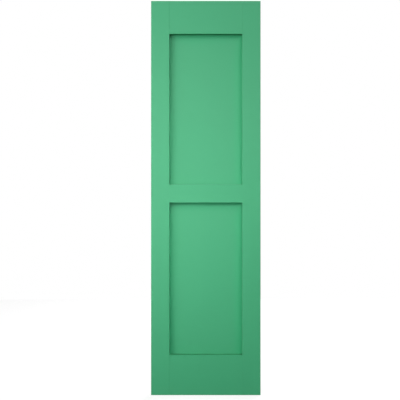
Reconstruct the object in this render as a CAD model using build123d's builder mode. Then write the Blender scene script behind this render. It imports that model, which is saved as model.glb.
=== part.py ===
"""One leaf of an exterior flat panel shutter: two stiles, three rails and two flat panels.

The stiles run the full height and the rails stand between them on haunched, blind
mortise-and-tenon joints. One groove runs from end to end of each stile and along each rail
edge that faces an opening. The flat panels float in it, and the haunches fill its ends.

The frame has +X to the right seen from the front, -Y out of the front face, +Z up, and its
origin in the middle of the back, which lies on the wall. All sizes are in millimetres.
"""

import os

from build123d import *

# The frame
leaf_width = 381.0
leaf_height = 1371.6
frame_thickness = 31.75
stile_width = 63.5
top_rail_height = 114.3
mid_rail_height = 63.5
bottom_rail_height = 139.7
lower_opening_height = 530.2
eased_edge = 0.7

# The panels, and the groove that they float in
panel_thickness = 6.35
panel_setback = 19.05  # from the frame's front face back to the panel's
groove_depth = 12.7
panel_play = 1.6  # room for a panel to swell, on each side of its opening
sliding_fit = 0.1  # clearance on each face of a tongue in its groove or mortise

# The tenons at the rails' ends
tenon_length = 44.5
tenon_end_gap = 1.5  # left for glue at the bottom of a mortise
haunch_height = 28.0

# Heights of the boards' edges, from the middle of the leaf
leaf_bottom = -leaf_height / 2
leaf_top = leaf_height / 2
bottom_rail_top = leaf_bottom + bottom_rail_height
mid_rail_bottom = bottom_rail_top + lower_opening_height
mid_rail_top = mid_rail_bottom + mid_rail_height
top_rail_bottom = leaf_top - top_rail_height

# The openings' sides, and the plane halfway through the panels, tenons and groove
shoulder = leaf_width / 2 - stile_width
tongue_plane = Plane.XZ.offset(frame_thickness - panel_setback - panel_thickness / 2)
groove_width = panel_thickness + 2 * sliding_fit


def upright(left, right, bottom, top):
    """Draws an upright rectangle between two sides and two heights on the open sketch."""
    with Locations(((left + right) / 2, (bottom + top) / 2)):
        Rectangle(right - left, top - bottom)


def make_rail(bottom, top, grooved_below, grooved_above):
    """A rail between the shoulders, grooved where it meets a panel, with a tenon at each end.

    Its long edges are eased, but its shoulders stay square, to close tight on the stiles.
    An edge with no groove is the end of the leaf. There the tenon stops short and a haunch
    as long as the groove is deep carries on to the end, so that it fills the stile's groove.
    """
    tenon_bottom = bottom + (groove_depth if grooved_below else haunch_height)
    tenon_top = top - (groove_depth if grooved_above else haunch_height)
    haunch_end = shoulder + groove_depth - sliding_fit
    tenon_end = shoulder + tenon_length
    with BuildPart() as rail:
        with BuildSketch(Plane.XZ):
            upright(-shoulder, shoulder, bottom, top)
        extrude(amount=frame_thickness)
        fillet(rail.faces().filter_by(Axis.Y).edges().filter_by(Axis.X), radius=eased_edge)
        with BuildSketch(tongue_plane):
            if grooved_below:
                upright(-shoulder, shoulder, bottom, bottom + groove_depth)
            if grooved_above:
                upright(-shoulder, shoulder, top - groove_depth, top)
        extrude(amount=groove_width / 2, both=True, mode=Mode.SUBTRACT)
        with BuildSketch(tongue_plane):
            upright(-tenon_end, tenon_end, tenon_bottom, tenon_top)
            if not grooved_below:
                upright(-haunch_end, haunch_end, bottom, tenon_bottom)
            if not grooved_above:
                upright(-haunch_end, haunch_end, tenon_top, top)
        extrude(amount=panel_thickness / 2, both=True)
    return rail, tenon_bottom, tenon_top


def make_panel(opening_bottom, opening_top):
    """A flat panel that stands on its lower groove's floor, with room to swell at its sides."""
    half_width = shoulder + groove_depth - panel_play
    bottom = opening_bottom - groove_depth
    top = opening_top + groove_depth - 2 * panel_play
    with BuildPart() as panel:
        with BuildSketch(tongue_plane):
            upright(-half_width, half_width, bottom, top)
        extrude(amount=panel_thickness / 2, both=True)
    return panel


top_rail, *top_tenon = make_rail(top_rail_bottom, leaf_top, True, False)
mid_rail, *mid_tenon = make_rail(mid_rail_bottom, mid_rail_top, True, True)
bottom_rail, *bottom_tenon = make_rail(leaf_bottom, bottom_rail_top, False, True)

lower_panel = make_panel(bottom_rail_top, mid_rail_bottom)
upper_panel = make_panel(mid_rail_top, top_rail_bottom)

# The stile's mortises are cut round the rails' tenons, through the floor of its groove.
with BuildPart() as left_stile:
    with BuildSketch(Plane.XZ):
        upright(-leaf_width / 2, -shoulder, leaf_bottom, leaf_top)
    extrude(amount=frame_thickness)
    fillet(left_stile.faces().filter_by(Axis.Y).edges(), radius=eased_edge)
    with BuildSketch(tongue_plane):
        upright(-shoulder - groove_depth, -shoulder, leaf_bottom, leaf_top)
        for tenon_bottom, tenon_top in (bottom_tenon, mid_tenon, top_tenon):
            mortise_end = -shoulder - tenon_length - tenon_end_gap
            upright(mortise_end, -shoulder, tenon_bottom - sliding_fit, tenon_top + sliding_fit)
    extrude(amount=groove_width / 2, both=True, mode=Mode.SUBTRACT)

with BuildPart() as right_stile:
    mirror(left_stile.part, about=Plane.YZ)

pieces = {
    "left_stile": left_stile,
    "right_stile": right_stile,
    "top_rail": top_rail,
    "mid_rail": mid_rail,
    "bottom_rail": bottom_rail,
    "upper_panel": upper_panel,
    "lower_panel": lower_panel,
}

os.makedirs("parts", exist_ok=True)
for name, piece in pieces.items():
    piece.part.label = name
    export_step(piece.part, f"parts/{name}.step")
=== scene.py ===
"""One leaf of a flat panel shutter in satin green paint, upright on a pale floor in soft light.

Lengths are in metres, in the leaf's own frame: +X to the right seen from the front, -Y out of
the front face, +Z up, and the origin in the middle of the leaf's back.
"""

import math

import bpy
import numpy as np
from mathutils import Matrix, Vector


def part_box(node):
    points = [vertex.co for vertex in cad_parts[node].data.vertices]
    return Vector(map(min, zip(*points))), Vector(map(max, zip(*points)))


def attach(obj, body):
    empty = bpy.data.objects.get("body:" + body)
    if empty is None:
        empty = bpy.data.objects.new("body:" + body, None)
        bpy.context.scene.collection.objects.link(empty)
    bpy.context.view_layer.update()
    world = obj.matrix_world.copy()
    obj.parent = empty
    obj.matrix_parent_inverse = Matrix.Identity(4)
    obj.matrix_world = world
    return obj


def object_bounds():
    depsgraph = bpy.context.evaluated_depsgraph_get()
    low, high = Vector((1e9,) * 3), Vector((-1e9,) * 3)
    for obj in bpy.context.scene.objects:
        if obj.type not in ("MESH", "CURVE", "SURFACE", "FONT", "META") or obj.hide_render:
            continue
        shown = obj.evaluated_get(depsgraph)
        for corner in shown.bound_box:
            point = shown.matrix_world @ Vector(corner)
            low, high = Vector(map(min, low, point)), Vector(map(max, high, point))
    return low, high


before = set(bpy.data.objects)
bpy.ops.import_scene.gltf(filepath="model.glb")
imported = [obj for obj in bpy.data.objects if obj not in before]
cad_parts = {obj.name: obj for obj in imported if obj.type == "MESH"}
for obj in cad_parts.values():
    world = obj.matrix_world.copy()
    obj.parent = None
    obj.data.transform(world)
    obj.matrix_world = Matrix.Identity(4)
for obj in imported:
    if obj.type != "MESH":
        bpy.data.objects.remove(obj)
leaf_low, leaf_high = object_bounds()


# Stiles and rails
# Milled boards with a smooth factory finish: two sprayed coats of satin green paint, which
# level into a very fine orange peel and leave faint clouds of colour and gloss.
paint_green = (0.0355, 0.360, 0.160)
paint_roughness = 0.55
paint_gloss = 0.65  # a little stronger than bare plastic's 0.5
gloss_spread = 0.04  # how far a cloud moves the roughness
cloud_length = 0.11  # across one soft cloud of colour
cloud_depth = 0.02  # how much a cloud darkens or lightens the paint
peel_length = 0.0022  # from bump to bump of the orange peel
peel_height = 0.00001
wave_length = 0.045  # the face's slow undulation under the paint
wave_height = 0.00004
board_step = (1.7, 0.6, 2.3)  # how far the pattern moves from one board to the next


def node(tree, kind, **inputs):
    """Adds a shader node and sets its inputs by name, with spaces written as underscores."""
    made = tree.nodes.new(kind)
    for name, value in inputs.items():
        made.inputs[name.replace("_", " ")].default_value = value
    return made


def satin_paint(name, start):
    """The paint on one board. start moves its pattern, so that no two boards match."""
    material = bpy.data.materials.new(name)
    material.use_nodes = True
    tree = material.node_tree
    link = tree.links.new
    shader = tree.nodes["Principled BSDF"]
    shader.inputs["Specular IOR Level"].default_value = paint_gloss
    place = tree.nodes.new("ShaderNodeTexCoord")
    moved = node(tree, "ShaderNodeMapping", Location=start)
    link(place.outputs["Object"], moved.inputs["Vector"])

    clouds = node(tree, "ShaderNodeTexNoise", Scale=1 / cloud_length, Detail=3.0, Roughness=0.5)
    tint = node(tree, "ShaderNodeMapRange", To_Min=1 - cloud_depth, To_Max=1 + cloud_depth)
    tinted = node(tree, "ShaderNodeVectorMath")
    tinted.operation = "MULTIPLY"
    tinted.inputs[0].default_value = paint_green
    link(moved.outputs["Vector"], clouds.inputs["Vector"])
    link(clouds.outputs["Fac"], tint.inputs["Value"])
    link(tint.outputs["Result"], tinted.inputs[1])
    link(tinted.outputs["Vector"], shader.inputs["Base Color"])

    dullest, glossiest = paint_roughness + gloss_spread, paint_roughness - gloss_spread
    gloss = node(tree, "ShaderNodeMapRange", To_Min=glossiest, To_Max=dullest)
    link(clouds.outputs["Fac"], gloss.inputs["Value"])
    link(gloss.outputs["Result"], shader.inputs["Roughness"])

    waves = node(tree, "ShaderNodeTexNoise", Scale=1 / wave_length, Detail=1.0)
    wave_bump = node(tree, "ShaderNodeBump", Strength=1.0, Distance=wave_height)
    peel = node(tree, "ShaderNodeTexNoise", Scale=1 / peel_length, Detail=2.0)
    peel_bump = node(tree, "ShaderNodeBump", Strength=1.0, Distance=peel_height)
    link(moved.outputs["Vector"], waves.inputs["Vector"])
    link(moved.outputs["Vector"], peel.inputs["Vector"])
    link(waves.outputs["Fac"], wave_bump.inputs["Height"])
    link(peel.outputs["Fac"], peel_bump.inputs["Height"])
    link(wave_bump.outputs["Normal"], peel_bump.inputs["Normal"])
    link(peel_bump.outputs["Normal"], shader.inputs["Normal"])
    return material


def dress(piece, material):
    """Gives a piece its finish."""
    piece.data.materials.clear()
    piece.data.materials.append(material)


boards = ("left_stile", "right_stile", "top_rail", "mid_rail", "bottom_rail")
for number, board in enumerate(boards):
    start = tuple(number * step for step in board_step)
    dress(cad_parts[board], satin_paint(f"{board}_paint", start))


# Flat panels
# Thin flat sheets with the same paint, held in the frame's groove. Painted shade: beside the
# stiles and under the rails, where the recess shades them, the panels are a little deeper green.
panel_starts = {"upper_panel": (11.0, 4.0, 7.0), "lower_panel": (14.1, 4.0, 7.0)}
recess_shade_tint = (0.4, 1.05, 0.96)  # the colour of the painted shade at its strongest
recess_shade_reach = 0.045  # how far from a stile or a rail the painted shade reaches

shoulder_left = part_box("left_stile")[1].x
shoulder_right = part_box("right_stile")[0].x
openings = {
    "upper_panel": (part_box("mid_rail")[1].z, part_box("top_rail")[0].z),
    "lower_panel": (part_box("bottom_rail")[1].z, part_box("mid_rail")[0].z),
}


def worked_out(tree, operation, *terms):
    """Adds a sum to a paint. Each term is a number or another node's output."""
    made = tree.nodes.new("ShaderNodeMath")
    made.operation = operation
    for socket, term in zip(made.inputs, terms):
        if isinstance(term, bpy.types.NodeSocket):
            tree.links.new(term, socket)
        else:
            socket.default_value = term
    return made.outputs["Value"]


def deepen(material, tint, amount):
    """Multiplies a paint by a tint where the amount is 1, and by less of it where it is less."""
    tree = material.node_tree
    link = tree.links.new
    colour = tree.nodes["Principled BSDF"].inputs["Base Color"]
    before = colour.links[0].from_socket
    partly = tree.nodes.new("ShaderNodeVectorMath")
    partly.operation = "MULTIPLY_ADD"
    partly.inputs[1].default_value = [part - 1 for part in tint]
    partly.inputs[2].default_value = (1, 1, 1)
    after = tree.nodes.new("ShaderNodeVectorMath")
    after.operation = "MULTIPLY"
    link(amount, partly.inputs[0])
    link(before, after.inputs[0])
    link(partly.outputs["Vector"], after.inputs[1])
    link(after.outputs["Vector"], colour)


def paint_recess_shade(material, high):
    """Paints shade into a panel's paint beside the stiles and under the rail at the height high.

    The amount is (1 - d / reach) squared, for the distance d to the nearest of the three.
    """
    tree = material.node_tree
    place = tree.nodes.new("ShaderNodeTexCoord")
    apart = tree.nodes.new("ShaderNodeSeparateXYZ")
    tree.links.new(place.outputs["Object"], apart.inputs["Vector"])
    from_middle = worked_out(tree, "ABSOLUTE", apart.outputs["X"])  # the same left and right
    from_stile = worked_out(tree, "SUBTRACT", shoulder_right, from_middle)
    from_rail = worked_out(tree, "SUBTRACT", high, apart.outputs["Z"])
    nearest = worked_out(tree, "MINIMUM", from_stile, from_rail)
    recess_shade_falloff = node(tree, "ShaderNodeMapRange", From_Max=recess_shade_reach, To_Min=1.0, To_Max=0.0)
    tree.links.new(nearest, recess_shade_falloff.inputs["Value"])
    deepen(material, recess_shade_tint, worked_out(tree, "POWER", recess_shade_falloff.outputs["Result"], 2.0))


# painted shade: each panel is deeper green beside the stiles and under the rail above it
for panel, (_, high) in openings.items():
    panel_paint = satin_paint(f"{panel}_paint", panel_starts[panel])
    paint_recess_shade(panel_paint, high)
    dress(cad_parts[panel], panel_paint)


# Seams round the panels
# A fine bead of sealant closes the seam between each panel and the frame. It is drawn hollow
# with a fingertip and painted over with the boards. Painted shade darkens it along its foot and in
# the corner under the top rail, and thinly darkens the rails' level faces beside the panels.
bead_radius = 0.0012
bead_bed = 0.00005  # how far its back sinks into the boards
bead_rows = 9
bead_starts = {"upper_bead": (19.0, 8.0, 1.0), "lower_bead": (21.9, 8.0, 1.0)}
crisp_angle = math.radians(35)  # an edge that turns further than this isn't shaded smooth
bead_shade_tint = (0.25, 0.5, 0.4)  # what the painted shade does to the paint's colour
rail_shade_tint = (0.4, 0.75, 0.65)
shade_patchiness = 0.3  # how much stronger or weaker the painted shade is in patches
corner_reach = 0.004  # how far the painted shade reaches up or down from a corner
face_reach = 0.0001  # how far the painted shade reaches round the edge of a level face
shade_patch_length = 0.03  # from one patch of painted shade to the next


def add_piece(name, points, faces):
    """A new piece of the leaf, with its place in its mesh."""
    mesh = bpy.data.meshes.new(name)
    mesh.from_pydata(points.reshape(-1, 3), [], faces)
    mesh.shade_smooth()
    mesh.set_sharp_from_angle(angle=crisp_angle)
    piece = bpy.data.objects.new(name, mesh)
    bpy.context.scene.collection.objects.link(piece)
    return piece


def panel_bead(name, low, high, panel_face):
    """A hollow bead along the four sides of an opening from height low to height high.

    The profile's points are u = r - r cos t away from the frame and v = r - r sin t in front of
    the panel, for t from 0 to a quarter turn and radius r, with a bed behind them. Each point
    goes round the opening on a rectangle that lies u inside the opening's own.
    """
    turn = np.linspace(0, np.pi / 2, bead_rows)
    u = bead_radius * (1 - np.cos(turn))
    v = bead_radius * (1 - np.sin(turn))
    u = np.concatenate(([-bead_bed], u, [bead_radius, -bead_bed]))
    v = np.concatenate(([bead_radius], v, [-bead_bed, -bead_bed]))
    corner_x = np.array([-1, 1, 1, -1])[:, None]
    corner_z = np.array([-1, -1, 1, 1])[:, None]
    x = (shoulder_left + shoulder_right) / 2 + corner_x * ((shoulder_right - shoulder_left) / 2 - u)
    z = (low + high) / 2 + corner_z * ((high - low) / 2 - u)
    y = np.broadcast_to(panel_face - v, x.shape)
    points = np.stack((x, y, z), axis=-1)

    corners, rows = x.shape
    side, row = np.meshgrid(np.arange(corners), np.arange(rows), indexing="ij")
    here, onward = side * rows, (side + 1) % corners * rows
    next_row = (row + 1) % rows
    quads = np.stack((here + row, onward + row, onward + next_row, here + next_row), axis=-1)
    return add_piece(name, points, quads.reshape(-1, 4).tolist())


def add_painted_shade(material, tint, level, reach):
    """Paints shade in patches into a paint at the height level, less and less over the reach from it.
    """
    tree = material.node_tree
    link = tree.links.new
    place = tree.nodes.new("ShaderNodeTexCoord")
    apart = tree.nodes.new("ShaderNodeSeparateXYZ")
    shade_near_level = node(
        tree,
        "ShaderNodeMapRange",
        From_Min=level,
        From_Max=level + reach,
        To_Min=1.0,
        To_Max=0.0,
    )
    patches = node(tree, "ShaderNodeTexNoise", Scale=1 / shade_patch_length)
    patchy = node(tree, "ShaderNodeMapRange", To_Min=1 - shade_patchiness, To_Max=1 + shade_patchiness)
    link(place.outputs["Object"], apart.inputs["Vector"])
    link(place.outputs["Object"], patches.inputs["Vector"])
    link(apart.outputs["Z"], shade_near_level.inputs["Value"])
    link(patches.outputs["Fac"], patchy.inputs["Value"])
    amount = worked_out(tree, "MULTIPLY", shade_near_level.outputs["Result"], patchy.outputs["Result"])
    deepen(material, tint, amount)


for panel, (low, high) in openings.items():
    name = panel.replace("panel", "bead")
    bead = panel_bead(name, low, high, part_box(panel)[0].y)
    bead_paint = satin_paint(f"{name}_paint", bead_starts[name])
    # painted shade along the bead's foot, and in the corner under the top rail
    add_painted_shade(bead_paint, bead_shade_tint, low, corner_reach)
    if name == "upper_bead":
        add_painted_shade(bead_paint, bead_shade_tint, high, -corner_reach)
    dress(bead, bead_paint)
    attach(bead, "root")

# painted shade in thin bands on the rails' undersides and on their level faces beside the panels
undersides, ledges = ("top_rail", "mid_rail"), ("mid_rail", "bottom_rail")
for rail in undersides:
    rail_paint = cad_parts[rail].data.materials[0]
    add_painted_shade(rail_paint, rail_shade_tint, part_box(rail)[0].z, face_reach)
for rail in ledges:
    rail_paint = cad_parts[rail].data.materials[0]
    add_painted_shade(rail_paint, rail_shade_tint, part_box(rail)[1].z, -face_reach)


# Painted joints
# A rail's square shoulder meets the stile's eased edge and leaves a fine line at the joint.
# Filler and paint bring it flush beside the middle rail and leave it hollow beside the others.
eased_edge = 0.0007
joint_bed = 0.00005  # how far the filling's back sinks into the stile
joint_columns = 7
joint_start = (25.0, 3.0, 5.0)
hollow = {"top_rail": 0.00062, "mid_rail": 0.00003, "bottom_rail": 0.00055}


def joint_fill(name, shoulder, outward, low, high, depth):
    """A strip of filling in the notch beside a rail's shoulder, from height low to height high.

    With t from 0 at the shoulder to 1 where the stile's face is flat, the stile's edge lies
    r (1 - sqrt(1 - (1 - t)^2)) deep, for the radius r that it is eased by. The filling's face
    has that same curve, scaled to be depth deep at the shoulder.
    """
    t = np.linspace(0, 1, joint_columns)
    curve = 1 - np.sqrt(1 - (1 - t) ** 2)
    across = shoulder + outward * eased_edge * np.concatenate((t, t[::-1]))
    deep = np.concatenate((depth * curve, eased_edge * curve[::-1] + joint_bed))
    x = np.broadcast_to(across, (2, across.size))
    y = np.broadcast_to(leaf_low.y + deep, x.shape)
    z = np.broadcast_to(np.array([[low], [high]]), x.shape)
    points = np.stack((x, y, z), axis=-1)

    count = across.size
    here = np.arange(count)
    onward = (here + 1) % count
    sides = np.stack((here, onward, onward + count, here + count), axis=-1)
    caps = [here[::-1].tolist(), (here + count).tolist()]
    faces = sides.tolist() + caps
    if outward < 0:
        faces = [face[::-1] for face in faces]
    return add_piece(name, points, faces)


joint_paint = satin_paint("joint_paint", joint_start)
for rail, depth in hollow.items():
    rail_low, rail_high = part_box(rail)
    for side, shoulder, outward in (("left", shoulder_left, -1), ("right", shoulder_right, 1)):
        name = f"{rail}_{side}_joint"
        low, high = rail_low.z + eased_edge, rail_high.z - eased_edge
        filling = joint_fill(name, shoulder, outward, low, high, depth)
        dress(filling, joint_paint)
        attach(filling, "root")


# Floor
# A plain pale floor at the foot of the leaf. To the camera it is as white as the background,
# apart from the leaf's own soft shadow.
floor_half = 2.5
floor_colour = (0.3, 0.3, 0.3)
floor_roughness = 0.9
floor_whiteness = 0.76  # what the camera sees of it on top of its own colour

floor_mesh = bpy.data.meshes.new("floor")
floor_corners = np.array([(-1, -1, 0), (1, -1, 0), (1, 1, 0), (-1, 1, 0)]) * floor_half
floor_mesh.from_pydata(floor_corners + (0, 0, leaf_low.z), [], [(0, 1, 2, 3)])
floor = bpy.data.objects.new("floor", floor_mesh)
bpy.context.scene.collection.objects.link(floor)

floor_paint = bpy.data.materials.new("floor_pale")
floor_paint.use_nodes = True
floor_tree = floor_paint.node_tree
floor_shader = floor_tree.nodes["Principled BSDF"]
floor_shader.inputs["Base Color"].default_value = (*floor_colour, 1)
floor_shader.inputs["Roughness"].default_value = floor_roughness
floor_shader.inputs["Specular IOR Level"].default_value = 0.0
floor_shader.inputs["Emission Color"].default_value = (1, 1, 1, 1)
floor_rays = floor_tree.nodes.new("ShaderNodeLightPath")
floor_glow = node(floor_tree, "ShaderNodeMapRange", To_Min=0.0, To_Max=floor_whiteness)
floor_tree.links.new(floor_rays.outputs["Is Camera Ray"], floor_glow.inputs["Value"])
floor_tree.links.new(floor_glow.outputs["Result"], floor_shader.inputs["Emission Strength"])
floor_mesh.materials.append(floor_paint)


# Camera
# The leaf is seen square on, from a little to the left of its middle. The distance is the one
# that shows as much of the top rail's underside as the photograph does.
picture_px = 400
leaf_height_px = 394.2
leaf_middle_px = (205.82, 198.07)
camera_distance = 2.65  # to the front face
metres_per_px = (leaf_high.z - leaf_low.z) / leaf_height_px

camera_data = bpy.data.cameras.new("camera")
camera_data.lens = camera_data.sensor_width * camera_distance / (picture_px * metres_per_px)
camera = bpy.data.objects.new("camera", camera_data)
camera.location = (
    (picture_px / 2 - leaf_middle_px[0]) * metres_per_px,
    leaf_low.y - camera_distance,
    (leaf_middle_px[1] - picture_px / 2) * metres_per_px,
)
camera.rotation_euler = (math.radians(90), 0, 0)
bpy.context.scene.collection.objects.link(camera)
bpy.context.scene.camera = camera


# Light
# A soft room light all round, white to the camera alone, and lamps that the camera doesn't
# see: a key and a tall strip on the left, two narrow beams that brighten the leaf's middle,
# two large soft boxes further off, and one fill behind.
room_light = 0.238

world = bpy.data.worlds.new("room")
bpy.context.scene.world = world
world.use_nodes = True
world_tree = world.node_tree
background = world_tree.nodes["Background"]
background.inputs["Color"].default_value = (1, 1, 1, 1)
world_rays = world_tree.nodes.new("ShaderNodeLightPath")
world_level = node(world_tree, "ShaderNodeMapRange", To_Min=room_light, To_Max=1.0)
world_tree.links.new(world_rays.outputs["Is Camera Ray"], world_level.inputs["Value"])
world_tree.links.new(world_level.outputs["Result"], background.inputs["Strength"])


def soft_lamp(name, place, aim, width, height, watts, beam=180):
    """An area lamp that the camera doesn't see, aimed at a point, with its beam in degrees."""
    data = bpy.data.lights.new(name, "AREA")
    data.shape = "RECTANGLE"
    data.size = width
    data.size_y = height
    data.energy = watts
    data.spread = math.radians(beam)
    lamp = bpy.data.objects.new(name, data)
    lamp.location = place
    lamp.rotation_euler = (Vector(aim) - Vector(place)).to_track_quat("-Z", "Y").to_euler()
    lamp.visible_camera = False
    bpy.context.scene.collection.objects.link(lamp)


soft_lamp("key", (-1.2, -0.7, 0.9), (0, 0, 0.1), width=0.8, height=0.8, watts=5.9)
soft_lamp("strip", (-0.4, -0.85, 0.15), (-0.12, 0, 0.15), width=0.4, height=1.2, watts=2.29)
soft_lamp("beam_left", (0.2, -2.6, 1.4), (-0.15, 0, 0), width=0.5, height=0.5, watts=0.33, beam=25)
soft_lamp("beam_right", (0.6, -2.4, 0.9), (-0.08, 0, -0.12), width=0.5, height=0.5, watts=0.3, beam=25)
soft_lamp("soft_box_left", (-4.0, -4.0, 0.6), (0, 0, 0), width=2.4, height=2.4, watts=114.4)
soft_lamp("soft_box_right", (2.0, -4.0, 3.6), (0, 0, 0), width=2.4, height=2.4, watts=101.9)
soft_lamp("back_fill", (1.0, 2.5, 1.5), (0, 0, 0), width=1.5, height=1.5, watts=75)

bpy.context.scene.view_settings.view_transform = "Standard"
